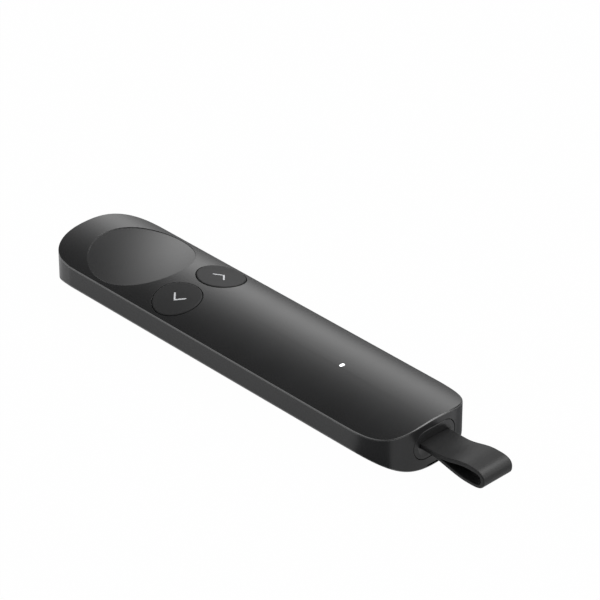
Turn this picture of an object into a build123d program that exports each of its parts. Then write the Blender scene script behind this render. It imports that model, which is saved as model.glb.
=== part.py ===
from build123d import *
import math
import os

# A slim wireless presentation clicker.  Millimetres; +Z is up out of the key face, +Y points
# to the nose and +X to the right.  While it is modelled, the middle of the body's length and
# of its side wall is at zero; place() then moves every piece so that the origin is in the
# middle of the footprint, on the surface that the clicker rests on.

# ---- body form
body_length = 121.8
body_width = 29.0
side_height = 5.65          # flat side wall, between the crisp edges of the two faces
top_crown = 2.75            # rise of the key face from its long edges to the centreline
underside_crown = 4.4
nose_depth = 14.0           # length over which the nose rounds off
nose_power = 2.95           # squareness of the nose outline: 2 is an ellipse
rear_depth = 16.8
rear_power = 3.6
edge_round = 0.3            # on the outer edge of both faces
small_round = 0.15          # on the power key and the receiver's face
pick_tolerance = 0.02       # for finding edges on a curved face
cut_margin = 2.0            # by which a cutting shape overshoots what it cuts

# ---- shells
wall = 1.1
cover_wall = 1.3
cover_rim = 0.35            # the part of each cover that lies on the wall's end
seat_gap = 0.05             # between pieces of the housing
key_gap = 0.2               # around a key, in the housing

# ---- thumb dish in the key face
dish_from_nose = 21.0       # from the nose's tip to the dish's middle
dish_side_room = 1.2        # from the body's side
dish_step = 0.15            # upright step all round the dish

# ---- round keys
key_bridge = 1.8            # between the two keys' holes
key_side_room = 1.0         # from a key's hole to the body's side
key_from_dish = 21.1
key_sweep_radius = 100.0    # hollow of a key top, along Y
key_stand = 0.2             # of a key's rim above the key face
key_round = 0.25
key_travel = 0.35
key_depth = 3.2             # from the key face's centreline down to a key's underside
ear_reach = 0.8
ear_width = 7.0
ear_height = 0.7
stem_radius = 2.0
stem_length = 0.75
arrow_height = 3.7
arrow_depth = 1.8
arrow_stroke = 0.45
arrow_inlay = 0.3

# ---- power key in the right-hand wall, level with the dish's middle
power_length = 15.6
power_edge_room = 1.275     # from the key to the edge of the wall
power_gap = 0.15
power_travel = 0.3
power_flange = 1.1          # thickness of the flange behind the wall
power_ear = 1.2             # its reach past the key, at each end
power_stem_width = 3.0
power_stem_height = 1.4
power_stem_length = 0.8

# ---- status light
light_from_tail = 30.4
light_length = 1.45         # across the body
light_width = 0.85

# ---- receiver, held in the tail
plug_centre_z = -0.35
plug_width = 13.3
plug_height = 7.7
plug_gap = 0.15
plug_face = 1.6             # thickness of the visible face, from the tail's tip
plug_step = 0.5             # by which the receiver's body is smaller than its face, all round
plug_body_length = 11.8
plug_wall = 0.9
bay_gap = 0.1
bay_wall = 0.8
hollow_rim = 0.8            # flat rim around the hollow in the face
hollow_depth = 0.45
connector_width = 8.34
connector_height = 2.56
connector_length = 6.65
connector_wall = 0.3
connector_flange = 0.9
port_gap = 0.08
port_wall = 0.3
port_back = 0.5
port_clearance = 0.4        # between the connector's tip and the port's back
tongue_thickness = 0.7
tongue_side_gap = 0.5
receiver_board_thickness = 0.8
receiver_board_gap = 0.15
bay_wing = 1.0

# ---- strap, a moulded loop
strap_side_room = 1.9       # from the strap's edge to the receiver's side
strap_thickness = 0.9
strap_round = 0.3           # on the strap's outer long edges
strap_reach = 19.75         # from the tail's tip to the loop's far end
loop_height = 4.9
loop_drop = 0.17            # loop's middle below the tongue's middle
loop_nose = 4.75            # from the loop's far end to its highest point
tongue_height = 1.26        # two layers, pressed together where they enter the receiver
tongue_rise = 0.2           # tongue's middle above the receiver's middle
upper_neck = 5.0            # straight part of the upper layer, from the tail's tip
lower_neck = 1.0
loop_start = 5.8            # where the layers part inside the loop
fork_slope = 0.2            # of the lower layer there
bead_radius = 1.2
bead_side_gap = 0.1
pin_radius = 0.5
pin_gap = 0.03
pin_inset = 0.2             # from the bead's end to the pin's
strap_slot_gap = 0.08

# ---- pry slot for the underside cover, in the tail wall
pry_width = 4.5
pry_height = 0.55
pry_offset_x = -0.2

# ---- crescent window at the nose, in the underside
window_depth = 6.5
window_arc_radius = 52.0
window_thickness = 0.8

# ---- main board and what is on it
board_thickness = 1.0
board_side_gap = 0.36
board_rear_gap = 1.2        # to the receiver's body
board_nose_room = 5.9       # to the nose's tip
switch_size = 6.0
plunger_stand = 0.565       # of a plunger above its switch
plunger_radius = 1.7
plunger_sink = 0.5
plunger_gap = 0.05
side_switch_length = 4.6
side_switch_depth = 2.4
side_switch_height = 2.7
side_plunger_width = 2.0
side_plunger_height = 1.0
chip_height = 0.9
chip_spots = ((-3.0, -6.3, 6.0, 6.0), (-8.6, 10.7, 4.0, 4.0), (0.0, 9.7, 3.0, 2.5))  # x, y from keys, sizes
led_size = (1.6, 0.8, 0.6)
sensor_radius = 4.0
sensor_gap = 0.05
motor_radius = 4.0
motor_gap = 0.19            # to the underside cover
antenna_size = (15.0, 4.0, 0.3)
antenna_from_nose = 8.4
battery_width = 17.5
battery_height = 4.2
battery_rear_room = 3.5     # to the light's middle
battery_nose_room = 11.8    # to the keys' middle
battery_round = 0.9
pad_thickness = 0.3

# ---- inner chassis
chassis_bottom = 0.3
chassis_thickness = 0.8
chassis_gap = 0.6           # around what passes through it
chassis_seat = 0.1          # to the wall
screw_room = 3.0            # from the battery's end to a screw
screw_radius = 0.8
screw_gap = 0.05
screw_head_radius = 1.5
screw_head_height = 0.8
screw_bite = 1.4
boss_radius = 1.8

# ---- worked out from the sizes above
half_width = body_width / 2
tip_y = body_length / 2
half_side = side_height / 2
power_height = side_height - 2 * power_edge_room
top_z = half_side + top_crown
underside_z = -half_side - underside_crown
top_radius = (half_width**2 + top_crown**2) / (2 * top_crown)
underside_radius = (half_width**2 + underside_crown**2) / (2 * underside_crown)
inner_half_width = half_width - wall
dish_radius = half_width - dish_side_room
key_hole_radius = (half_width - key_side_room - key_bridge / 2) / 2
key_radius = key_hole_radius - key_gap
key_centre_x = key_hole_radius + key_bridge / 2
dish_centre_y = tip_y - dish_from_nose
key_centre_y = dish_centre_y - key_from_dish
power_centre_y = dish_centre_y
light_y = -tip_y + light_from_tail
window_start_y = tip_y - window_depth
antenna_y = tip_y - antenna_from_nose
battery_rear_y = light_y + battery_rear_room
battery_nose_y = key_centre_y - battery_nose_room
screw_ys = (battery_rear_y - screw_room, battery_nose_y + screw_room)
dish_sweep_radius = 2 * top_radius
key_bottom = top_z - key_depth - key_radius**2 / (2 * top_radius)
plunger_top = key_bottom - stem_length
inner_plug_width = plug_width - 2 * plug_step
inner_plug_height = plug_height - 2 * plug_step
cavity_width = inner_plug_width - 2 * plug_wall
cavity_height = inner_plug_height - 2 * plug_wall
strap_width = plug_width - 2 * strap_side_room
body_front_y = -tip_y + plug_face + plug_body_length
connector_tip_y = body_front_y + connector_length
port_width = connector_width + 2 * (port_gap + port_wall)
port_height = connector_height + 2 * (port_gap + port_wall)
board_top = plug_centre_z - port_height / 2
board_bottom = board_top - board_thickness
board_drop = underside_z + underside_radius - board_bottom
board_half_width = math.sqrt((underside_radius - cover_wall)**2 - board_drop**2) - board_side_gap
board_rear_y = body_front_y + board_rear_gap
board_nose_y = tip_y - board_nose_room
screw_x = board_half_width - boss_radius
chassis_top = chassis_bottom + chassis_thickness
switch_top = plunger_top - plunger_stand
tall = 4 * (side_height + top_crown + underside_crown)

parts = {}


def crown_z(x):
    """Height of the key face at a distance from the centreline."""
    return top_z - top_radius + math.sqrt(top_radius**2 - x**2)


def end_curve(depth, power, inset):
    """One rounded end, from +X over the tip to -X, as (x, distance past the straight side)."""
    points = []
    steps = 9
    for step in range(2 * steps + 1):
        angle = math.pi * step / (2 * steps)
        cosine = abs(math.cos(angle))
        sine = math.sin(angle)
        side = 1 if step < steps else -1
        u = 0.0 if step == steps else cosine ** (2 / power)
        v = 0.0 if step in (0, 2 * steps) else sine ** (2 / power)
        normal = Vector(u ** (power - 1) / half_width, v ** (power - 1) / depth).normalized()
        points.append((side * (half_width * u - inset * normal.X), depth * v - inset * normal.Y))
    return points


def outline(inset=0.0):
    """The body's plan, drawn in by an inset."""
    nose = [(x, tip_y - nose_depth + y) for x, y in end_curve(nose_depth, nose_power, inset)]
    rear = [(-x, -tip_y + rear_depth - y) for x, y in end_curve(rear_depth, rear_power, inset)]
    wire = Wire([
        Edge.make_spline([Vector(*p) for p in nose], tangents=[(0, 1), (0, -1)]),
        Edge.make_line(Vector(*nose[-1]), Vector(*rear[0])),
        Edge.make_spline([Vector(*p) for p in rear], tangents=[(0, -1), (0, 1)]),
        Edge.make_line(Vector(*rear[-1]), Vector(*nose[0])),
    ])
    return Face(wire)


def prism(inset, low=-tall / 2, high=tall / 2):
    """The plan, drawn in by an inset, between two heights."""
    return Pos(0, 0, low) * extrude(outline(inset), high - low)


def top_drum(inset=0.0):
    """A drum along Y whose upper side is the key face, lowered by an inset."""
    radius = top_radius - inset
    return Pos(0, 0, top_z - top_radius) * Rot(90, 0, 0) * Cylinder(radius, 2 * body_length)


def underside_drum(inset=0.0):
    """A drum along Y whose lower side is the underside, raised by an inset."""
    radius = underside_radius - inset
    return Pos(0, 0, underside_z + underside_radius) * Rot(90, 0, 0) * Cylinder(radius, 2 * body_length)


def pill(width, height, length, y, z=plug_centre_z):
    """A pill section in the XZ plane, from y towards +Y by length."""
    section = Plane(origin=(0, y, z), x_dir=(1, 0, 0), z_dir=(0, 1, 0)) * SlotOverall(width, height)
    return extrude(section, length)


def box_between(x0, x1, y0, y1, z0, z1):
    """A box given by its limits."""
    return Pos((x0 + x1) / 2, (y0 + y1) / 2, (z0 + z1) / 2) * Box(x1 - x0, y1 - y0, z1 - z0)


def post(radius, x, y, low, high):
    """An upright cylinder between two heights."""
    return Pos(x, y, (low + high) / 2) * Cylinder(radius, high - low)


def hollow_floor(x, y, radius, sweep_radius, step=0.0, lowered=0.0):
    """All that lies under a shallow hollow of round outline in the key face.

    The hollow is the crowned face let down by a bowl that runs out at the radius, so its floor
    is a saddle: concave along Y and less convex than the face along X.
    """
    depth = radius**2 / (2 * sweep_radius) + step
    across_radius = 1 / (1 / top_radius - 1 / sweep_radius) - lowered
    lean = math.asin(x / top_radius)
    floor_x = x - lowered * math.sin(lean)
    floor_z = crown_z(x) - depth - lowered * math.cos(lean)
    centre_x = floor_x - across_radius * math.sin(lean)
    centre_z = floor_z - across_radius * math.cos(lean)
    reach = radius + cut_margin
    spread = reach / across_radius
    arc = [
        Vector(centre_x + across_radius * math.sin(lean + turn), y,
               centre_z + across_radius * math.cos(lean + turn))
        for turn in (-spread, 0, spread)
    ]
    base = floor_z - 3 * reach
    section = Face(Wire([
        Edge.make_three_point_arc(*arc),
        Edge.make_line(arc[2], Vector(arc[2].X, y, base)),
        Edge.make_line(Vector(arc[2].X, y, base), Vector(arc[0].X, y, base)),
        Edge.make_line(Vector(arc[0].X, y, base), arc[0]),
    ]))
    axis = Axis((0, y, floor_z + sweep_radius + lowered), (1, 0, 0))
    half_sweep = math.degrees(reach / sweep_radius)
    return revolve(section.rotate(axis, -half_sweep), axis, 2 * half_sweep)


def edges_at(shape, test):
    """The edges of a shape whose points all pass a test."""
    return [
        edge for edge in shape.edges()
        if all(test(edge @ share) for share in (0.05, 0.5, 0.95))
    ]


def on_drum(point, drum_z, radius):
    """Whether a point lies on a drum's surface."""
    return abs(math.hypot(point.X, point.Z - drum_z) - radius) < pick_tolerance


def make_housing():
    """The wall frame and its two covers, with every opening in them."""
    whole = prism(0) & top_drum() & underside_drum()
    hollow = prism(wall)
    frame = (whole & top_drum(cover_rim) & underside_drum(cover_rim)) - hollow

    top_axis_z = top_z - top_radius
    top_rim = whole - top_drum(cover_rim)
    rim_edges = edges_at(top_rim, lambda p: on_drum(p, top_axis_z, top_radius))
    top_rim = fillet(rim_edges, edge_round)
    inner = prism(wall + seat_gap) & top_drum() & underside_drum()
    dish = {"x": 0, "y": dish_centre_y, "radius": dish_radius, "sweep_radius": dish_sweep_radius,
            "step": dish_step}
    dish_floor = hollow_floor(**dish)
    dish_shell = (dish_floor - hollow_floor(**dish, lowered=cover_wall)) & inner
    top = top_rim + (inner - top_drum(cover_wall) & top_drum(edge_round)) + dish_shell
    top -= post(dish_radius, 0, dish_centre_y, 0, tall) - dish_floor
    for side in (-1, 1):
        top -= post(key_hole_radius, side * key_centre_x, key_centre_y, 0, tall)
    top -= light_section(tall)

    underside_axis_z = underside_z + underside_radius
    low_rim = whole - underside_drum(cover_rim)
    rim_edges = edges_at(low_rim, lambda p: on_drum(p, underside_axis_z, underside_radius))
    low_rim = fillet(rim_edges, edge_round)
    low_inner = (inner - underside_drum(cover_wall)) & underside_drum(edge_round)
    bottom = low_rim + low_inner
    window_zone = box_between(-body_width, body_width, window_start_y, body_length, -tall, 0)
    window_zone -= post(window_arc_radius, 0, window_start_y - window_arc_radius, -tall, 0)
    window_zone -= underside_drum(window_thickness)
    window = bottom & window_zone
    bottom -= window_zone
    for x in (-screw_x, screw_x):
        for y in screw_ys:
            bottom += post(boss_radius, x, y, -tall / 2, board_bottom) & underside_drum(cover_wall / 2)
            bottom -= post(screw_radius + screw_gap, x, y, board_bottom - screw_bite, 0)

    frame -= pill(plug_width + 2 * plug_gap, plug_height + 2 * plug_gap, plug_body_length, -tip_y - wall)
    frame -= power_pill(power_length + 2 * power_gap, power_height + 2 * power_gap,
                        inner_half_width - wall, half_width + wall)
    parting_z = underside_z + cover_rim
    frame -= box_between(pry_offset_x - pry_width / 2, pry_offset_x + pry_width / 2,
                         -tip_y - wall, -tip_y + plug_face,
                         parting_z - cover_rim, parting_z + pry_height)
    parts["side_frame"] = frame
    parts["top_cover"] = top
    parts["bottom_cover"] = bottom
    parts["nose_window"] = window


def light_section(height):
    """The status light's pill, upright from the centreline's mid height."""
    return extrude(Pos(0, light_y, 0) * SlotOverall(light_length, light_width), height)


def power_pill(length, height, x0, x1):
    """A pill section in the right-hand wall, between two depths."""
    plane = Plane(origin=(x0, power_centre_y, 0), x_dir=(0, 1, 0), z_dir=(1, 0, 0))
    return extrude(plane * SlotOverall(length, height), x1 - x0)


def make_key(name, side):
    """A round key, the arrow let into it and the plunger of the switch under it."""
    x = side * key_centre_x
    top = {"x": x, "y": key_centre_y, "radius": key_radius, "sweep_radius": key_sweep_radius,
           "step": -key_stand}
    key = post(key_radius, x, key_centre_y, key_bottom, tall) & hollow_floor(**top)
    top_edges = edges_at(key, lambda p: p.Z > crown_z(p.X) - pick_tolerance)
    key = fillet(top_edges, key_round)
    ears = post(key_hole_radius + ear_reach, x, key_centre_y, key_bottom, key_bottom + ear_height)
    key += ears & box_between(x - ear_width / 2, x + ear_width / 2, 0, 2 * key_centre_y, -tall, tall)
    key += post(stem_radius, x, key_centre_y, plunger_top, key_bottom)

    tip = Vector(x + side * arrow_depth / 2, key_centre_y)
    run = Vector(-side * arrow_depth, arrow_height / 2)
    half_stroke = arrow_stroke / 2
    arrow = Sketch()
    for up in (-1, 1):
        end = tip + Vector(run.X, up * run.Y)
        middle = (tip + end) * 0.5
        turn = math.degrees(math.atan2(end.Y - tip.Y, end.X - tip.X))
        length = (end - tip).length + 2 * half_stroke
        arrow += Pos(middle.X, middle.Y) * Rot(0, 0, turn) * SlotOverall(length, arrow_stroke)
    inlay_zone = Pos(0, 0, key_bottom) * extrude(arrow, tall)
    inlay_zone -= hollow_floor(**top, lowered=arrow_inlay)
    parts[name + "_arrow"] = key & inlay_zone
    parts[name + "_button"] = key - inlay_zone
    parts[name + "_plunger"] = post(plunger_radius, x, key_centre_y, switch_top - plunger_sink, plunger_top)

    half_switch = switch_size / 2
    switch = box_between(x - half_switch, x + half_switch, key_centre_y - half_switch,
                         key_centre_y + half_switch, board_top, switch_top)
    switch = fillet(switch.edges().filter_by(Axis.Z), edge_round)
    bore_floor = switch_top - plunger_sink - key_travel - plunger_gap
    parts[name + "_switch"] = switch - post(plunger_radius + plunger_gap, x, key_centre_y, bore_floor, tall)


def make_power_key():
    """The pill key in the right-hand wall and the side switch that it works."""
    flange_outer = inner_half_width - seat_gap
    flange_inner = flange_outer - power_flange
    key = power_pill(power_length, power_height, flange_inner, half_width)
    key = fillet(key.faces().sort_by(Axis.X)[-1].edges(), small_round)
    key += power_pill(power_length + 2 * power_ear, power_height, flange_inner, flange_outer)
    stem_end = flange_inner - power_stem_length
    half_stem = power_stem_width / 2
    key += box_between(stem_end, flange_inner, power_centre_y - half_stem, power_centre_y + half_stem,
                       -power_stem_height / 2, power_stem_height / 2)
    parts["power_button"] = key

    switch_face = stem_end - power_travel - plunger_gap
    half_plunger = side_plunger_width / 2
    plunger_end = switch_face - plunger_sink
    parts["power_plunger"] = box_between(
        plunger_end, stem_end, power_centre_y - half_plunger, power_centre_y + half_plunger,
        -side_plunger_height / 2, side_plunger_height / 2)
    half_switch = side_switch_length / 2
    switch = box_between(switch_face - side_switch_depth, switch_face, power_centre_y - half_switch,
                         power_centre_y + half_switch, board_top, board_top + side_switch_height)
    half_slot = half_plunger + plunger_gap
    half_slot_height = side_plunger_height / 2 + plunger_gap
    switch -= box_between(plunger_end - power_travel - plunger_gap, tall, power_centre_y - half_slot,
                          power_centre_y + half_slot, -half_slot_height, half_slot_height)
    parts["power_switch"] = switch


def strap_profile():
    """The strap's side view as (y, z) points, curves and the loop's opening."""
    middle = plug_centre_z + tongue_rise
    upper = middle + tongue_height / 2
    lower = middle - tongue_height / 2
    loop_z = middle - loop_drop
    high = loop_z + loop_height / 2
    low = loop_z - loop_height / 2
    end_y = -tip_y - strap_reach
    swell_y = end_y + loop_nose
    anchor_y = -tip_y + plug_face + plug_wall
    bead_y = anchor_y + bead_radius

    def curve(points, first, last):
        return Edge.make_spline([Vector(0, y, z) for y, z in points],
                                tangents=[Vector(0, *first), Vector(0, *last)])

    def line(start, end):
        return Edge.make_line(Vector(0, *start), Vector(0, *end))

    upper_bend = (-tip_y - upper_neck, upper)
    lower_bend = (-tip_y - lower_neck, lower)
    top_point = (swell_y, high)
    end_point = (end_y, loop_z)
    low_point = (swell_y, low)
    outer = Face(Wire([
        line((bead_y, upper), upper_bend),
        curve([upper_bend, top_point], (-1, 0), (-1, 0)),
        curve([top_point, end_point], (-1, 0), (0, -1)),
        curve([end_point, low_point], (0, -1), (1, 0)),
        curve([low_point, lower_bend], (1, 0), (1, 0)),
        line(lower_bend, (bead_y, lower)),
        line((bead_y, lower), (bead_y, upper)),
    ]))
    fork = (-tip_y - loop_start, (middle + loop_z) / 2)
    inner_top = (swell_y, high - strap_thickness)
    inner_end = (end_y + strap_thickness, loop_z)
    inner_low = (swell_y, low + strap_thickness)
    opening = Face(Wire([
        curve([fork, inner_top], (-1, 0), (-1, 0)),
        curve([inner_top, inner_end], (-1, 0), (0, -1)),
        curve([inner_end, inner_low], (0, -1), (1, 0)),
        curve([inner_low, fork], (1, 0), (1, fork_slope)),
    ]))
    return outer, opening, anchor_y, bead_y, middle


def make_receiver():
    """The pull-out receiver with its connector, board, strap and strap pin."""
    face = pill(plug_width, plug_height, plug_face, -tip_y)
    face = face & prism(0)
    face = fillet(edges_at(face, lambda p: p.Y < -tip_y + plug_face / 2), small_round)
    body = face + pill(inner_plug_width, inner_plug_height, plug_body_length, -tip_y + plug_face)
    outer, opening, anchor_y, bead_y, middle = strap_profile()
    body -= pill(cavity_width, cavity_height, body_front_y - anchor_y, anchor_y)

    hollow_width = plug_width - 2 * hollow_rim
    hollow_height = plug_height - 2 * hollow_rim
    ball = ((hollow_height / 2)**2 + hollow_depth**2) / (2 * hollow_depth)
    ball_y = -tip_y + hollow_depth - ball
    half_run = (hollow_width - hollow_height) / 2
    body -= Pos(0, ball_y, plug_centre_z) * Rot(0, 90, 0) * Cylinder(ball, 2 * half_run)
    for side in (-1, 1):
        body -= Pos(side * half_run, ball_y, plug_centre_z) * Sphere(ball)
    slot_half = strap_width / 2 + strap_slot_gap
    slot_half_height = tongue_height / 2 + strap_slot_gap
    body -= box_between(-slot_half, slot_half, -tip_y, anchor_y,
                        middle - slot_half_height, middle + slot_half_height)
    parts["receiver_body"] = body

    strap = extrude(outer, strap_width / 2, both=True, dir=(1, 0, 0))
    long_edges = edges_at(strap, lambda p: abs(p.X) > strap_width / 2 - pick_tolerance)
    strap = fillet([edge for edge in long_edges if (edge @ 0.5).Y < bead_y - pick_tolerance], strap_round)
    strap -= extrude(opening, strap_width, both=True, dir=(1, 0, 0))
    highest = abs(middle - plug_centre_z) + bead_radius
    flat_run = cavity_width - cavity_height
    bead_length = flat_run + 2 * (math.sqrt((cavity_height / 2)**2 - highest**2) - bead_side_gap)
    across = Pos(0, bead_y, middle) * Rot(0, 90, 0)
    strap += across * Cylinder(bead_radius, bead_length)
    strap -= across * Cylinder(pin_radius + pin_gap, 2 * strap_width)
    parts["strap"] = strap
    parts["strap_pin"] = across * Cylinder(pin_radius, bead_length - 2 * pin_inset)

    shell = pill(connector_width, connector_height, connector_length, body_front_y)
    shell -= pill(connector_width - 2 * connector_wall, connector_height - 2 * connector_wall,
                  connector_length, body_front_y)
    flange = pill(cavity_width - 2 * receiver_board_gap, cavity_height - 2 * receiver_board_gap,
                  connector_flange, body_front_y - connector_flange)
    parts["receiver_connector"] = shell + flange

    board_half = (cavity_width - cavity_height) / 2
    board_back = bead_y + bead_radius + receiver_board_gap
    parts["receiver_board"] = box_between(
        -board_half, board_half, board_back, body_front_y - connector_flange,
        plug_centre_z - receiver_board_thickness / 2, plug_centre_z + receiver_board_thickness / 2)


def make_bay():
    """The bay that guides the receiver, and the charging port at its end."""
    bore_width = inner_plug_width + 2 * bay_gap
    bore_height = inner_plug_height + 2 * bay_gap
    start = -tip_y + plug_face + bay_gap
    end = body_front_y + bay_gap
    bay = pill(bore_width + 2 * bay_wall, bore_height + 2 * bay_wall, end - start, start)
    wings = prism(wall + chassis_seat, plug_centre_z - bay_wing / 2, plug_centre_z + bay_wing / 2)
    bay += wings & box_between(-body_width, body_width, start, end, -tall, tall)
    bay &= top_drum(cover_wall + bay_gap) & underside_drum(cover_wall + bay_gap)
    bay -= pill(bore_width, bore_height, end - start, start)
    parts["receiver_bay"] = bay

    port_start = body_front_y + 2 * bay_gap
    port_inner_end = connector_tip_y + port_clearance
    port = pill(port_width, port_height, port_inner_end + port_back - port_start, port_start)
    port -= pill(connector_width + 2 * port_gap, connector_height + 2 * port_gap,
                 port_inner_end - port_start, port_start)
    parts["charge_port"] = port
    half_tongue = (connector_width - connector_height) / 2 - tongue_side_gap
    parts["port_tongue"] = box_between(
        -half_tongue, half_tongue, port_start + port_back, port_inner_end,
        plug_centre_z - tongue_thickness / 2, plug_centre_z + tongue_thickness / 2)


def make_electronics():
    """The main board, what is soldered to it, and the battery."""
    board = prism(wall + board_side_gap, board_bottom, board_top)
    board &= box_between(-board_half_width, board_half_width, board_rear_y, board_nose_y, -tall, tall)
    for x in (-screw_x, screw_x):
        for y in screw_ys:
            board -= post(screw_radius + screw_gap, x, y, -tall, tall)
    parts["main_board"] = board

    chips = Part()
    for x, y, width, length in chip_spots:
        chips += Pos(x, key_centre_y + y, board_top + chip_height / 2) * Box(width, length, chip_height)
    parts["control_chips"] = chips

    led_x, led_y, led_z = led_size
    parts["led"] = Pos(0, light_y, board_top + led_z / 2) * Box(led_x, led_y, led_z)
    pipe = Pos(0, 0, board_top + led_z) * light_section(tall)
    parts["light_pipe"] = pipe & top_drum()

    under_dish = hollow_floor(0, dish_centre_y, dish_radius, dish_sweep_radius, dish_step,
                              cover_wall + sensor_gap)
    parts["force_sensor"] = post(sensor_radius, 0, dish_centre_y, chassis_top, tall) & under_dish
    inner_radius = underside_radius - cover_wall
    motor_foot = (underside_z + cover_wall + motor_gap
                  + inner_radius - math.sqrt(inner_radius**2 - motor_radius**2))
    parts["haptic_motor"] = post(motor_radius, 0, dish_centre_y, motor_foot, board_bottom)
    antenna_x, antenna_length, antenna_z = antenna_size
    parts["antenna"] = Pos(0, antenna_y, chassis_top + antenna_z / 2) * Box(antenna_x, antenna_length, antenna_z)

    half_battery = battery_width / 2
    pad_top = board_top + pad_thickness
    parts["battery_pad"] = box_between(-half_battery, half_battery, battery_rear_y, battery_nose_y,
                                       board_top, pad_top)
    battery = box_between(-half_battery, half_battery, battery_rear_y, battery_nose_y,
                          pad_top, pad_top + battery_height)
    parts["battery"] = fillet(battery.edges().filter_by(Axis.Y), battery_round)


def make_chassis():
    """The plate that ties the board to the housing, and the screws that hold it down."""
    plate = prism(wall + chassis_seat, chassis_bottom, chassis_top)
    plate &= box_between(-body_width, body_width, board_rear_y, body_length, -tall, tall)
    battery_half = battery_width / 2 + chassis_gap
    plate -= box_between(-battery_half, battery_half, battery_rear_y - chassis_gap,
                         battery_nose_y + chassis_gap, -tall, tall)
    for side in (-1, 1):
        half_window = switch_size / 2 + chassis_gap
        plate -= Pos(side * key_centre_x, key_centre_y, 0) * Box(2 * half_window, 2 * half_window, tall)
    plate -= Pos(0, light_y, 0) * Box(light_length + 2 * chassis_gap, light_width + 2 * chassis_gap, tall)
    port_half = port_width / 2 + chassis_gap
    plate -= box_between(-port_half, port_half, -body_length, connector_tip_y + port_clearance + port_back
                         + chassis_gap, -tall, tall)
    flange_inner = inner_half_width - seat_gap - power_flange
    ear_half = power_length / 2 + power_ear + chassis_gap
    plate -= box_between(flange_inner - power_travel - chassis_gap, body_width, power_centre_y - ear_half,
                         power_centre_y + ear_half, -tall, tall)
    side_half = side_switch_length / 2 + chassis_gap
    switch_back = flange_inner - power_stem_length - power_travel - plunger_gap - side_switch_depth
    plate -= box_between(switch_back - chassis_gap, body_width, power_centre_y - side_half,
                         power_centre_y + side_half, -tall, tall)
    screws = Part()
    for x in (-screw_x, screw_x):
        for y in screw_ys:
            plate += post(boss_radius, x, y, board_top, chassis_bottom)
            plate -= post(screw_radius + screw_gap, x, y, -tall, tall)
            screws += post(screw_radius, x, y, board_bottom - screw_bite, chassis_top)
            screws += post(screw_head_radius, x, y, chassis_top, chassis_top + screw_head_height)
    parts["inner_chassis"] = plate
    parts["screws"] = screws


def place(piece):
    """Move a piece from the modelling frame to the row's frame."""
    return Pos(0, strap_reach / 2, -underside_z) * piece


make_housing()
make_key("prev", -1)
make_key("next", 1)
make_power_key()
make_receiver()
make_bay()
make_electronics()
make_chassis()

os.makedirs("parts", exist_ok=True)
for name, piece in parts.items():
    export_step(place(piece), "parts/" + name + ".step")
print(len(parts), "nodes; origin to body centre", strap_reach / 2, "and", -underside_z)
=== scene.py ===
import math

import bpy
from mathutils import Matrix, Vector


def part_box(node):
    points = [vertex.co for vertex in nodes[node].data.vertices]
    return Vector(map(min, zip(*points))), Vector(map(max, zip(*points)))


MM = 0.001
IMAGE_SIDE = 600            # the picture is square, this many pixels each way
WHITE = (1.0, 1.0, 1.0, 1.0)

# ---- where the camera stands: a long lens, looking along and down onto the key face
CAMERA_AZIMUTH = math.radians(-43.8175)     # from -Y, positive towards +X
CAMERA_ELEVATION = math.radians(32.0305)
AIM_POINT = Vector((19.777, 14.128, 6.4)) * MM
CAMERA_DISTANCE = 810.825 * MM
FOCAL_PIXELS = 3327.87
SENSOR_WIDTH = 36.0
CLIP_START = 10 * MM
CLIP_END = 20.0

# ---- the studio: soft boxes as (azimuth from +X, elevation, spread, strength), angles in degrees;
#      the spread is from a box's middle to where it is half as bright
AMBIENT = 0.1
SOFT_BOXES = (
    (0.0, 90.0, 19.4, 0.5),
    (-120.0, 62.0, 13.0, 1.5),
    (-50.0, 50.0, 17.0, 4.5),
    (-55.0, 13.0, 13.0, 3.0),
    (3.0, 53.0, 11.0, 8.0),
    (60.0, 42.0, 9.0, 0.2),
    (46.0, 32.0, 9.0, 0.6),
    (62.0, 25.0, 9.0, 0.6),
    (42.0, 22.0, 9.0, 1.15),
    (35.0, 16.0, 7.0, 1.1),
    (50.0, 14.0, 9.0, 0.8),
    (120.0, 28.0, 13.5, 0.7),
    (150.0, 28.0, 13.5, 2.0),
    (180.0, 28.0, 13.5, 1.0),
    (240.0, 52.0, 18.0, 0.6),
    (135.0, 7.0, 13.5, 0.8),
    (130.0, 35.0, 9.0, 0.5),
)
FLOOR_SIDE = 6.0
FLOOR_GREY = 0.42
FLOOR_FIBRE = 2 * MM
FLOOR_GLOW = 0.99           # share of plain white in the floor, as the camera sees it
GLOSS_GLOW = 0.55           # how much of that share gloss and glass see
SWEEP_TOP = 0.0             # up to this slope, gloss sees the surroundings as white as the floor
SWEEP_BLEND = 0.01

# ---- dark cards on the floor, by the tail and beyond the far side: their corners, in mm
CARD_GREY = 0.2
CARD_PILE = 1 * MM
CARD_LIFT = 0.3 * MM
CARDS = {
    "card_left": ((-16, -37), (-60, -15), (-60, -85), (-18, -54), (-13, -50)),
    "card_right": ((10, -52), (17, -42), (60, -35), (60, -70)),
    "card_far": ((17, -30), (17, 66), (10, 90), (10, 300), (700, 1000), (700, 100)),
}

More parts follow.
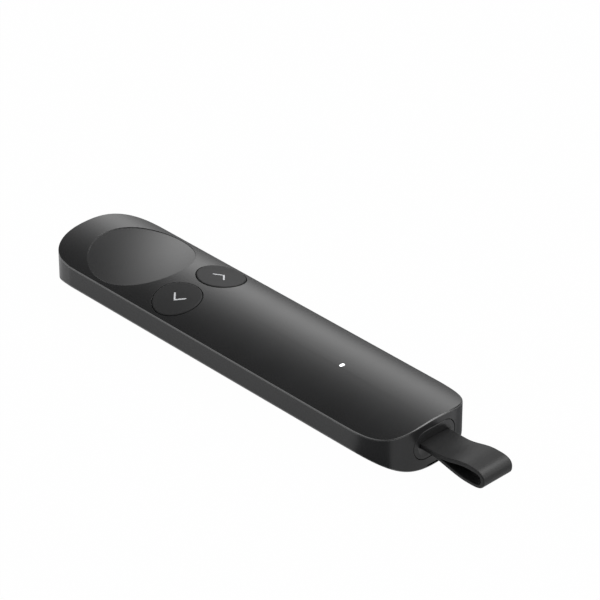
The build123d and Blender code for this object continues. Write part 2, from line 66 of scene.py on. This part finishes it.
# ---- moulded surfaces: sizes and depths of their relief, and the plastics' and lacquer's gloss
GRAIN_SIZE = 0.14 * MM
GRAIN_DEPTH = 0.003 * MM
MATTE_GRAIN_DEPTH = 0.005 * MM
CLOUD_SIZE = 9.0 * MM       # of the slow change in tone over a moulding
EDGE_RADIUS = 0.12 * MM     # how far a sharp edge looks rounded
EDGE_WEAR_AND_HIGHLIGHT = 4.0             # how fast wear and the painted edge highlight set in as an edge turns
RIM_LEVEL = 0.85            # a cover's rim is steeper than this, as the cosine of its slope
PLASTIC_IOR = 1.5
MATTE_IOR = 1.37            # a matte skin throws back less than bare plastic
RUBBER_IOR = 1.37
RIM_IOR = 1.7               # of the polish on a cover's rim
RIM_ROUGHNESS = 0.2
COVER_BLACK = 0.010         # also of the side wall, the window and the keys
RECEIVER_BLACK = 0.011

# ---- metal, contacts and other inner surfaces
TOOL_MARK = 0.18 * MM       # pitch of the rings that a lathe leaves
METAL_RELIEF = 0.002 * MM
CONTACT_PITCH = 0.5 * MM
CONTACT_GAP = 0.28          # bare plastic each side of a contact, as a share of the pitch
CONTACT_SETBACK = 1.2 * MM  # from a contact's end to the tongue's root
LAID_RELIEF = 0.02 * MM     # height of contacts and copper tracks over what they lie on
TAPE_WIDTH = 6 * MM         # of the tape over the battery's nose end
LENS_RADIUS = 0.3 * MM      # of the light-emitting diode
TRACK_PITCH = 1.0 * MM      # from one run of the antenna's track to the next
TRACK_GAP = 0.22 * MM       # bare film each side of a run
SCREW_INSET = 1.5 * MM      # from a screw's axis to the side of its node's box

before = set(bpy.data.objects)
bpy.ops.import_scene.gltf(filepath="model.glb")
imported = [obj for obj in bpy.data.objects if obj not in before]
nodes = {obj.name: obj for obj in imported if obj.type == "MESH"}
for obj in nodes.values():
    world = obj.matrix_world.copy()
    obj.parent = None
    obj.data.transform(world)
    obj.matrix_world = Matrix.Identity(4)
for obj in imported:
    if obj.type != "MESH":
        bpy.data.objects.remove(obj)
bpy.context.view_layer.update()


def view_axes():
    """The camera's right, up and back directions."""
    back = Vector((
        math.sin(CAMERA_AZIMUTH) * math.cos(CAMERA_ELEVATION),
        -math.cos(CAMERA_AZIMUTH) * math.cos(CAMERA_ELEVATION),
        math.sin(CAMERA_ELEVATION),
    ))
    right = Vector((math.cos(CAMERA_AZIMUTH), math.sin(CAMERA_AZIMUTH), 0.0))
    return right, back.cross(right), back


def place_camera():
    """The camera, with depth of field off and no shift."""
    data = bpy.data.cameras.new("camera")
    data.sensor_fit = "HORIZONTAL"
    data.sensor_width = SENSOR_WIDTH
    data.lens = FOCAL_PIXELS / IMAGE_SIDE * SENSOR_WIDTH
    data.clip_start = CLIP_START
    data.clip_end = CLIP_END
    camera = bpy.data.objects.new("camera", data)
    right, up, back = view_axes()
    turn = Matrix((right, up, back)).transposed().to_4x4()
    camera.matrix_world = Matrix.Translation(AIM_POINT + back * CAMERA_DISTANCE) @ turn
    bpy.context.scene.collection.objects.link(camera)
    bpy.context.scene.camera = camera


class Varying:
    """A value that changes over a surface. Expressions on it add Math nodes to its tree."""

    def __init__(self, tree, socket):
        self.tree = tree
        self.socket = socket

    def __add__(self, other):
        return self.tree.maths("ADD", self, other)

    def __radd__(self, other):
        return self.tree.maths("ADD", other, self)

    def __sub__(self, other):
        return self.tree.maths("SUBTRACT", self, other)

    def __rsub__(self, other):
        return self.tree.maths("SUBTRACT", other, self)

    def __mul__(self, other):
        return self.tree.maths("MULTIPLY", self, other)

    def __rmul__(self, other):
        return self.tree.maths("MULTIPLY", other, self)

    def __pow__(self, other):
        return self.tree.maths("POWER", self, other)

    def __gt__(self, other):
        return self.tree.maths("GREATER_THAN", self, other)

    def __lt__(self, other):
        return self.tree.maths("LESS_THAN", self, other)


class Tree:
    """A shader tree, with the one method that adds a node to it."""

    def __init__(self, owner):
        owner.use_nodes = True
        self.tree = owner.node_tree
        self.tree.nodes.clear()

    def feed(self, node, sockets):
        """Set a node's sockets, each to a plain value or to a varying one."""
        for name, value in sockets.items():
            socket = node.inputs[name.replace("_", " ") if isinstance(name, str) else name]
            if isinstance(value, Varying):
                self.tree.links.new(value.socket, socket)
            else:
                socket.default_value = value

    def add(self, kind, settings=None, sockets=None, out=0):
        """Add a node of a type; its settings are set first, then its sockets."""
        node = self.tree.nodes.new("ShaderNode" + kind)
        for name, value in (settings or {}).items():
            setattr(node, name, value)
        self.feed(node, sockets or {})
        return Varying(self, node.outputs[out] if node.outputs else None)

    def maths(self, operation, *values):
        """One Math node, for what has no operator of its own."""
        return self.add("Math", {"operation": operation}, dict(enumerate(values)))

    def scaled(self, vector, scale):
        """A vector with each part multiplied."""
        return self.add("VectorMath", {"operation": "MULTIPLY"}, {0: vector, 1: scale})

    def dot(self, vector, other):
        """How far two directions agree: 1 when they are the same."""
        return self.add("VectorMath", {"operation": "DOT_PRODUCT"}, {0: vector, 1: other}, out="Value")

    def distance(self, vector, point):
        """How far a place is from a point."""
        return self.add("VectorMath", {"operation": "DISTANCE"}, {0: vector, 1: point}, out="Value")

    def seen(self, mirrored):
        """1 for what the camera sees itself, and a share for what it sees in gloss or through glass."""
        straight, glossy, through = (
            self.add("LightPath", out=f"Is {kind} Ray")
            for kind in ("Camera", "Glossy", "Transmission")
        )
        return self.maths("MAXIMUM", straight, self.maths("MAXIMUM", glossy, through) * mirrored)

    def part(self, vector, axis):
        """One part of a vector: X, Y or Z."""
        return self.add("SeparateXYZ", sockets={0: vector}, out=axis)


class Finish(Tree):
    """One material, with its shader and what this object's surfaces share."""

    def __init__(self, name, **fixed):
        self.material = bpy.data.materials.new(name)
        super().__init__(self.material)
        self.shader = self.tree.nodes.new("ShaderNodeBsdfPrincipled")
        self.surface = Varying(self, self.shader.outputs[0])
        self.feed(self.shader, fixed)
        self.place = self.add("TexCoord", out="Object")
        self.rounded = self.add("Bevel", sockets={"Radius": EDGE_RADIUS})

    def noise(self, size, detail=2.0, stretch=(1.0, 1.0, 1.0)):
        """Noise from 0 to 1, with grains of a size, longer where the stretch is over 1."""
        scale = [1 / (size * share) for share in stretch]
        return self.add("TexNoise", sockets={
            "Vector": self.scaled(self.place, scale), "Scale": 1.0, "Detail": detail})

    def cells(self, size, feature="F1"):
        """Distance from the middle of irregular cells, or to their edges, in cell sizes."""
        scale = [1 / size] * 3
        return self.add("TexVoronoi", {"feature": feature},
                        {"Vector": self.scaled(self.place, scale), "Scale": 1.0}, out="Distance")

    def wear_and_highlight(self):
        """1 on sharp edges, 0 on smooth surfaces: the mask of edge wear and of a painted edge highlight.
        """
        normal = self.add("NewGeometry", out="Normal")
        return self.add("Clamp", sockets={"Value": EDGE_WEAR_AND_HIGHLIGHT * (1.0 - self.dot(self.rounded, normal))})

    def levelness(self):
        """1 on level faces, 0 on upright ones."""
        normal = self.add("NewGeometry", out="Normal")
        return self.maths("ABSOLUTE", self.part(normal, "Z"))

    def mixed(self, share, first, second):
        """A colour between two colours, plain ones or varying ones."""
        pair = [colour if isinstance(colour, Varying) else (*colour, 1.0) for colour in (first, second)]
        return self.add("Mix", {"data_type": "RGBA"}, {0: share, 6: pair[0], 7: pair[1]}, out=2)

    def relief(self, height, depth):
        """The normal of a surface that stands up by a depth where the height is 1."""
        return self.add("Bump", sockets={
            "Strength": 1.0, "Distance": depth, "Height": height, "Normal": self.rounded})

    def done(self, **varying):
        """Feed the shader what varies, and give the material."""
        self.feed(self.shader, varying)
        self.add("OutputMaterial", sockets={"Surface": self.surface})
        return self.material


def tones(grey):
    """A near neutral black or grey, a trace cooler than grey."""
    return (grey * 0.99, grey, grey * 1.03)


def satin_moulding(name, grey, roughness, gloss=PLASTIC_IOR, grain_depth=GRAIN_DEPTH,
                   flank=0.0, polish=0.0):
    """Black plastic from a finely spark-eroded mould, a little polished along its edges and painted
    lighter there, partly as wear and partly as a painted highlight.
    Its flanks may be rougher than its level faces, and a cover's rim may be polished."""
    finish = Finish(name, IOR=gloss, Coat_IOR=RIM_IOR, Coat_Roughness=RIM_ROUGHNESS)
    cloud = finish.noise(CLOUD_SIZE, 3.0)
    grain = finish.noise(GRAIN_SIZE)
    wear_and_highlight = finish.wear_and_highlight()
    body = finish.mixed(cloud, tones(0.85 * grey), tones(1.15 * grey))
    # sharp edges painted lighter: partly wear, partly a painted highlight
    colour = finish.mixed(0.5 * wear_and_highlight, body, tones(2.0 * grey))
    rough = roughness + 0.05 * (cloud - 0.5) - 0.06 * wear_and_highlight
    if flank:
        rough = rough + flank * (1.0 - finish.levelness())
    coat = {"Coat_Weight": polish * (finish.levelness() < RIM_LEVEL)} if polish else {}
    return finish.done(Base_Color=colour, Roughness=rough,
                       Normal=finish.relief(grain, grain_depth), **coat)


def strap_rubber(name):
    """Matte rubber with a soft skin and faint moulding lines along it."""
    finish = Finish(name, IOR=RUBBER_IOR)
    cloud = finish.noise(4 * MM, 3.0)
    skin = finish.noise(0.09 * MM, 3.0, (1.0, 1.6, 1.0))
    colour = finish.mixed(cloud, tones(0.008), tones(0.012))
    return finish.done(Base_Color=colour, Roughness=0.38 + 0.08 * cloud,
                       Normal=finish.relief(skin, 0.006 * MM))


def arrow_paint(name):
    """The pale grey arrows, let into the keys."""
    finish = Finish(name)
    grain = finish.noise(0.1 * MM)
    colour = finish.mixed(grain, tones(0.42), tones(0.5))
    return finish.done(Base_Color=colour, Roughness=0.5 + 0.1 * grain,
                       Normal=finish.relief(grain, GRAIN_DEPTH))


def lit_diffuser(name):
    """The status light, frosted and glowing white."""
    finish = Finish(name, Emission_Strength=1.0)
    frost = finish.noise(0.2 * MM)
    colour = finish.mixed(frost, (0.93, 0.96, 1.0), (1.0, 1.0, 1.0))
    return finish.done(Base_Color=colour, Emission_Color=colour, Roughness=0.25 + 0.1 * frost,
                       Normal=finish.relief(frost, GRAIN_DEPTH))


def drawn_metal(name, colour, roughness, stretch=(1.0, 25.0, 1.0)):
    """Plated or pressed sheet, with fine drawing lines."""
    finish = Finish(name, Metallic=1.0)
    lines = finish.noise(0.05 * MM, 3.0, stretch)
    stain = finish.noise(1.5 * MM, 3.0)
    tint = finish.mixed(stain, [0.88 * c for c in colour], colour)
    return finish.done(Base_Color=tint, Roughness=roughness + 0.12 * (lines - 0.5) + 0.06 * stain,
                       Normal=finish.relief(lines, METAL_RELIEF))


def turned_metal(name, colour, centres):
    """Turned metal, with tool marks in rings round the nearest of the upright axes."""
    finish = Finish(name, Metallic=1.0)
    flat = finish.scaled(finish.place, (1.0, 1.0, 0.0))
    nearest = None
    for centre in centres:
        away = finish.distance(flat, (*centre.xy, 0.0))
        nearest = away if nearest is None else finish.maths("MINIMUM", nearest, away)
    rings = finish.maths("SINE", nearest * (2 * math.pi / TOOL_MARK))
    stain = finish.noise(2 * MM, 3.0)
    tint = finish.mixed(stain, [0.8 * c for c in colour], colour)
    return finish.done(Base_Color=tint, Roughness=0.28 + 0.06 * rings + 0.1 * stain,
                       Normal=finish.relief(rings, METAL_RELIEF))


def contact_tongue(name, node):
    """The port's black tongue with its row of gold contacts."""
    finish = Finish(name)
    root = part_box(node)[1].y
    along = finish.part(finish.place, "X")
    comb = finish.maths("PINGPONG", along, CONTACT_PITCH / 2) > CONTACT_GAP * CONTACT_PITCH
    reach = finish.part(finish.place, "Y") < root - CONTACT_SETBACK
    contact = comb * reach
    grain = finish.noise(GRAIN_SIZE)
    plastic = finish.mixed(grain, tones(0.012), tones(0.02))
    colour = finish.mixed(contact, plastic, (0.75, 0.5, 0.2))
    return finish.done(Base_Color=colour, Metallic=contact,
                       Roughness=0.5 - 0.25 * contact + 0.05 * grain,
                       Normal=finish.relief(contact, LAID_RELIEF))


def circuit_board(name):
    """Green solder resist over copper tracks, with tinned pads."""
    finish = Finish(name, IOR=PLASTIC_IOR)
    tracks = finish.cells(1.6 * MM, "DISTANCE_TO_EDGE") < 0.09
    pads = finish.cells(2.3 * MM) < 0.16
    weave = finish.noise(0.4 * MM)
    resist = finish.mixed(weave, (0.008, 0.05, 0.022), (0.012, 0.07, 0.03))
    laid = finish.mixed(tracks, resist, (0.02, 0.12, 0.045))
    colour = finish.mixed(pads, laid, (0.6, 0.58, 0.52))
    return finish.done(Base_Color=colour, Metallic=pads, Roughness=0.35 + 0.1 * weave,
                       Normal=finish.relief(finish.maths("MAXIMUM", tracks, pads), 0.03 * MM))


def pouch_foil(name, node):
    """The battery's laminated foil, creased, with an amber tape over its nose end."""
    finish = Finish(name)
    nose_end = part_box(node)[1].y
    tape = finish.part(finish.place, "Y") > nose_end - TAPE_WIDTH
    crease = finish.cells(3.5 * MM, "DISTANCE_TO_EDGE")
    crinkle = finish.noise(1.2 * MM, 4.0)
    foil = finish.mixed(crinkle, (0.5, 0.5, 0.51), (0.66, 0.66, 0.67))
    colour = finish.mixed(tape, foil, (0.55, 0.26, 0.03))
    return finish.done(Base_Color=colour, Metallic=1.0 - tape, Roughness=0.32 + 0.15 * crinkle,
                       Normal=finish.relief(crinkle + 0.5 * crease, 0.08 * MM))


def plain_moulding(name, colour, roughness, specks=0.3 * MM):
    """An inner moulding, with flow marks and a coarser mould texture."""
    finish = Finish(name)
    flow = finish.noise(5 * MM, 4.0, (1.0, 3.0, 1.0))
    texture = finish.noise(specks, 3.0)
    tint = finish.mixed(flow, [0.8 * c for c in colour], [1.2 * c for c in colour])
    return finish.done(Base_Color=tint, Roughness=roughness + 0.1 * (texture - 0.5),
                       Normal=finish.relief(texture, 0.012 * MM))


def open_foam(name):
    """The battery's pad, a black open-celled foam, its pores painted darker as shade in their hollows."""
    finish = Finish(name)
    pores = finish.cells(0.25 * MM)
    # the pores' hollows are painted darker: painted shade
    colour = finish.mixed(pores, tones(0.008), tones(0.05))
    return finish.done(Base_Color=colour, Roughness=0.85 + 0.1 * pores,
                       Normal=finish.relief(pores, 0.08 * MM))


def light_chip(name, node):
    """The light-emitting diode: an ivory housing round a yellow lens."""
    finish = Finish(name)
    low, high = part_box(node)
    top_middle = (low + high) / 2 + Vector((0, 0, (high.z - low.z) / 2))
    lens = finish.distance(finish.place, top_middle) < LENS_RADIUS
    grain = finish.noise(GRAIN_SIZE)
    ivory = finish.mixed(grain, (0.6, 0.56, 0.46), (0.7, 0.66, 0.56))
    colour = finish.mixed(lens, ivory, (0.85, 0.65, 0.08))
    return finish.done(Base_Color=colour, Roughness=0.5 - 0.35 * lens,
                       Normal=finish.relief(grain, GRAIN_DEPTH))


def flex_antenna(name, node):
    """Copper tracks that run to and fro on an amber film."""
    finish = Finish(name)
    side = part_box(node)[0].x
    across = finish.part(finish.place, "X") - side
    track = finish.maths("PINGPONG", across, TRACK_PITCH / 2) > TRACK_GAP
    stain = finish.noise(0.8 * MM, 3.0)
    copper = finish.mixed(stain, (0.6, 0.28, 0.14), (0.75, 0.4, 0.22))
    colour = finish.mixed(track, (0.35, 0.16, 0.03), copper)
    return finish.done(Base_Color=colour, Metallic=track, Roughness=0.35 + 0.1 * stain,
                       Normal=finish.relief(track, LAID_RELIEF))


def dress(material, *names):
    """Give CAD nodes their finish."""
    for name in names:
        for slot in nodes[name].material_slots:
            slot.material = material


def middles(*names):
    """The middles of the nodes' boxes."""
    return [sum(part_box(name), Vector()) / 2 for name in names]


def screw_axes():
    """The four screws stand at the corners of their node's box."""
    low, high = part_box("screws")
    across = (low.x + SCREW_INSET, high.x - SCREW_INSET)
    along = (low.y + SCREW_INSET, high.y - SCREW_INSET)
    return [Vector((x, y, 0)) for x in across for y in along]


def dress_all():
    """Every node's finish."""
    matte = {"gloss": MATTE_IOR, "grain_depth": MATTE_GRAIN_DEPTH}
    dress(satin_moulding("cover_satin", COVER_BLACK, 0.25, polish=0.85), "top_cover", "bottom_cover")
    dress(satin_moulding("wall_satin", COVER_BLACK, 0.30), "side_frame")
    dress(satin_moulding("window_matte", COVER_BLACK, 0.5, grain_depth=MATTE_GRAIN_DEPTH), "nose_window")
    dress(satin_moulding("key_matte", COVER_BLACK, 0.5, flank=0.5, **matte), "prev_button", "next_button")
    dress(satin_moulding("power_key_matte", COVER_BLACK, 0.5, **matte), "power_button")
    dress(satin_moulding("receiver_satin", RECEIVER_BLACK, 0.36), "receiver_body")
    dress(strap_rubber("strap_rubber"), "strap")
    dress(arrow_paint("arrow_paint"), "prev_arrow", "next_arrow")
    dress(lit_diffuser("light_glow"), "light_pipe")
    dress(drawn_metal("nickel_plate", (0.62, 0.61, 0.6), 0.24), "receiver_connector", "charge_port")
    dress(drawn_metal("switch_plate", (0.5, 0.5, 0.5), 0.34),
          "prev_switch", "next_switch", "power_switch")
    dress(turned_metal("turned_steel", (0.5, 0.5, 0.5), middles("force_sensor")),
          "force_sensor", "haptic_motor")
    dress(turned_metal("blackened_steel", (0.2, 0.2, 0.2), screw_axes()), "screws")
    dress(drawn_metal("pin_steel", (0.55, 0.55, 0.56), 0.3, (25.0, 1.0, 1.0)), "strap_pin")
    dress(contact_tongue("contact_tongue", "port_tongue"), "port_tongue")
    dress(plain_moulding("bay_moulding", (0.016, 0.016, 0.017), 0.5), "receiver_bay", "inner_chassis")
    dress(plain_moulding("chip_epoxy", (0.02, 0.02, 0.021), 0.6, 0.12 * MM), "control_chips")
    dress(plain_moulding("plunger_ivory", (0.55, 0.52, 0.45), 0.45),
          "prev_plunger", "next_plunger", "power_plunger")
    dress(open_foam("pad_foam"), "battery_pad")
    dress(light_chip("light_chip", "led"), "led")
    dress(circuit_board("circuit_board"), "main_board", "receiver_board")
    dress(pouch_foil("pouch_foil", "battery"), "battery")
    dress(flex_antenna("flex_antenna", "antenna"), "antenna")


def lay_floor():
    """A plain pale floor, which stays white to the camera apart from the object's shadow."""
    bpy.ops.mesh.primitive_plane_add(size=FLOOR_SIDE, location=(0, 0, 0))
    floor = bpy.context.object
    floor.name = "floor"
    finish = Finish("floor_paper", Roughness=0.9, Specular_IOR_Level=0.0)
    fibre = finish.noise(FLOOR_FIBRE, 3.0)
    glow = finish.add("Emission", sockets={"Color": WHITE, "Strength": 1.0})
    share = FLOOR_GLOW * finish.seen(GLOSS_GLOW)
    finish.surface = finish.add("MixShader", sockets={0: share, 1: finish.surface, 2: glow})
    grey = finish.mixed(fibre, tones(FLOOR_GREY - 0.01), tones(FLOOR_GREY))
    floor.data.materials.append(finish.done(Base_Color=grey))


def lay_cards():
    """Dark cards that only gloss sees, which give the walls by the tail their dark bands."""
    felt = Finish("card_felt", Roughness=1.0, Specular_IOR_Level=0.0)
    pile = felt.noise(CARD_PILE, 3.0)
    material = felt.done(Base_Color=felt.mixed(pile, tones(0.9 * CARD_GREY), tones(1.1 * CARD_GREY)))
    for name, corners in CARDS.items():
        mesh = bpy.data.meshes.new(name)
        mesh.from_pydata([(x * MM, y * MM, CARD_LIFT) for x, y in corners], [], [range(len(corners))])
        mesh.materials.append(material)
        card = bpy.data.objects.new(name, mesh)
        bpy.context.scene.collection.objects.link(card)
        card.visible_camera = card.visible_diffuse = card.visible_shadow = False


def light_studio():
    """Soft boxes round the object, as bright patches of the surroundings."""
    world = bpy.data.worlds.new("studio")
    bpy.context.scene.world = world
    studio = Tree(world)
    direction = studio.add("TexCoord", out="Generated")
    light = AMBIENT
    for azimuth, elevation, spread, strength in SOFT_BOXES:
        turn, rise = math.radians(azimuth), math.radians(elevation)
        middle = (math.cos(turn) * math.cos(rise), math.sin(turn) * math.cos(rise), math.sin(rise))
        power = math.log(0.5) / math.log(math.cos(math.radians(spread)))
        facing = studio.dot(direction, middle)
        light = light + strength * studio.maths("MAXIMUM", facing, 0.0) ** power
    height = studio.part(direction, "Z")
    sweep = studio.add("MapRange", {"interpolation_type": "SMOOTHSTEP"},
                       {"Value": height, "From Min": SWEEP_TOP + SWEEP_BLEND, "From Max": SWEEP_TOP})
    seen = studio.seen(GLOSS_GLOW * sweep)
    strength = seen + (1.0 - seen) * light
    background = studio.add("Background", sockets={"Color": WHITE, "Strength": strength})
    studio.add("OutputWorld", sockets={"Surface": background})


place_camera()
dress_all()
lay_floor()
lay_cards()
light_studio()
bpy.context.scene.view_settings.view_transform = "Standard"
